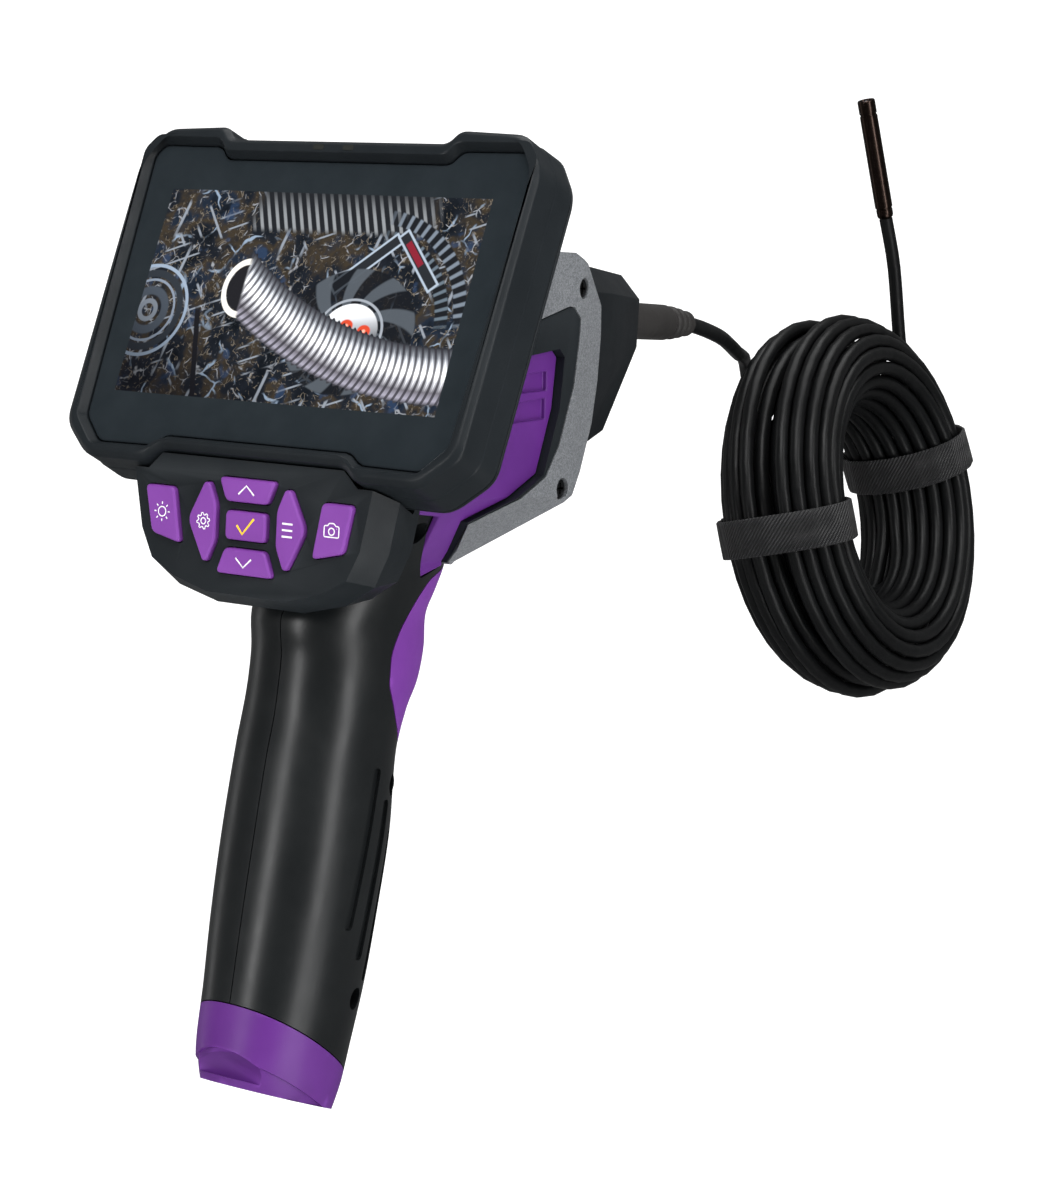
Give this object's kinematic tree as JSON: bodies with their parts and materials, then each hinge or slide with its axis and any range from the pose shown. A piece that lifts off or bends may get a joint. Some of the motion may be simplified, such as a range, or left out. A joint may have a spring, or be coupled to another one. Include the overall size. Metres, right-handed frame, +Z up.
{
  "type": "inspection camera",
  "caption": "Pistol-grip pipe inspection camera with a tilted display, a keypad under it, a battery handle and a coiled push cable ending in a slim camera head.",
  "frame": {"origin": "middle of the hand grip, on the part's middle plane", "axes": "+Z up along the upright object, +Y forward out of the nose where the cable leaves, +X to the right of a person reading the display"},
  "size_m": [0.1208, 0.3878, 0.2797],
  "materials": {
    "housing_black": "satin, fine grain",
    "handle_black": "satin",
    "purple_plastic": "satin",
    "purple_soft": "soft touch",
    "yellow_plastic": "satin",
    "silver_cowl": "silver-grey paint with a fine metallic grain",
    "display_glass": "glossy clear window with a black printed border",
    "display_module": "picture layer",
    "indicator": "smoked clear",
    "circuit_board": "lacquered board",
    "rubber_black": "matt",
    "screw_steel": "blackened",
    "socket_metal": "plated",
    "contact_metal": "plated spring strip",
    "battery_sleeve": "shrink sleeve",
    "cable_black": "smooth satin jacket",
    "strap_fabric": "woven hook-and-loop strap",
    "camera_metal": "dark polished",
    "lens_glass": "clear"
  },
  "bodies": {
    "viewer": {"screen_bezel": "housing_black", "screen_back": "housing_black", "display_window": "display_glass", "display_module": "display_module", "main_board": "circuit_board", "indicator_left": "indicator", "indicator_right": "indicator", "keypad_shell": "housing_black", "keypad_mat": "rubber_black", "keypad_board": "circuit_board", "cowl": "silver_cowl", "cowl_screw_left_1": "screw_steel", "cowl_screw_left_2": "screw_steel", "cowl_screw_right_1": "screw_steel", "cowl_screw_right_2": "screw_steel", "side_frame_left": "housing_black", "side_frame_right": "housing_black", "side_panel_left": "purple_plastic", "side_panel_right": "purple_plastic", "nose_cap": "housing_black", "cable_socket": "socket_metal", "strain_relief": "rubber_black", "handle_left": "handle_black", "handle_right": "handle_black", "handle_screw_1": "screw_steel", "handle_screw_2": "screw_steel", "handle_screw_3": "screw_steel", "front_grip": "purple_soft", "trigger_surround": "housing_black", "trigger_switch": "rubber_black", "battery_cell": "battery_sleeve", "battery_contact_top": "contact_metal", "battery_contact_bottom": "contact_metal", "cable_lead": "cable_black", "cable_coil": "cable_black", "cable_tail": "cable_black", "cable_tie_left": "strap_fabric", "cable_tie_right": "strap_fabric", "camera_head": "camera_metal", "camera_lens": "lens_glass"},
    "key_up": {"key_up": "purple_plastic"},
    "key_ok": {"key_ok": "purple_plastic"},
    "key_down": {"key_down": "purple_plastic"},
    "key_mode": {"key_mode": "purple_plastic"},
    "key_settings": {"key_settings": "purple_plastic"},
    "key_photo": {"key_photo": "purple_plastic"},
    "key_light": {"key_light": "purple_plastic"},
    "trigger": {"trigger_button": "yellow_plastic"},
    "battery_cap": {"battery_cap": "purple_plastic"},
    "lock_ring": {"lock_ring": "rubber_black"}
  },
  "joints": [
    {"name": "key_up_press", "type": "slide", "parent": "viewer", "child": "key_up", "axis": [0, 1, 0], "range_m": [0, 0.0008], "stiffness_N_per_m": 800},
    {"name": "key_ok_press", "type": "slide", "parent": "viewer", "child": "key_ok", "axis": [0, 1, 0], "range_m": [0, 0.0008], "stiffness_N_per_m": 800},
    {"name": "key_down_press", "type": "slide", "parent": "viewer", "child": "key_down", "axis": [0, 1, 0], "range_m": [0, 0.0008], "stiffness_N_per_m": 800},
    {"name": "key_mode_press", "type": "slide", "parent": "viewer", "child": "key_mode", "axis": [0, 1, 0], "range_m": [0, 0.0008], "stiffness_N_per_m": 800},
    {"name": "key_settings_press", "type": "slide", "parent": "viewer", "child": "key_settings", "axis": [0, 1, 0], "range_m": [0, 0.0008], "stiffness_N_per_m": 800},
    {"name": "key_photo_press", "type": "slide", "parent": "viewer", "child": "key_photo", "axis": [0, 1, 0], "range_m": [0, 0.0008], "stiffness_N_per_m": 800},
    {"name": "key_light_press", "type": "slide", "parent": "viewer", "child": "key_light", "axis": [0, 1, 0], "range_m": [0, 0.0008], "stiffness_N_per_m": 800},
    {"name": "trigger_press", "type": "slide", "parent": "viewer", "child": "trigger", "axis": [0, -1, 0], "range_m": [0, 0.0015], "stiffness_N_per_m": 600},
    {"name": "battery_cap_slide", "type": "slide", "parent": "viewer", "child": "battery_cap", "axis": [0, -0.1513, -0.9885], "range_m": [0, 0.03]},
    {"name": "lock_ring_turn", "type": "hinge", "parent": "viewer", "child": "lock_ring", "pos_m": [0, 0.116, 0.124], "axis": [0, 1, 0], "range_deg": [0, 90]}
  ]
}
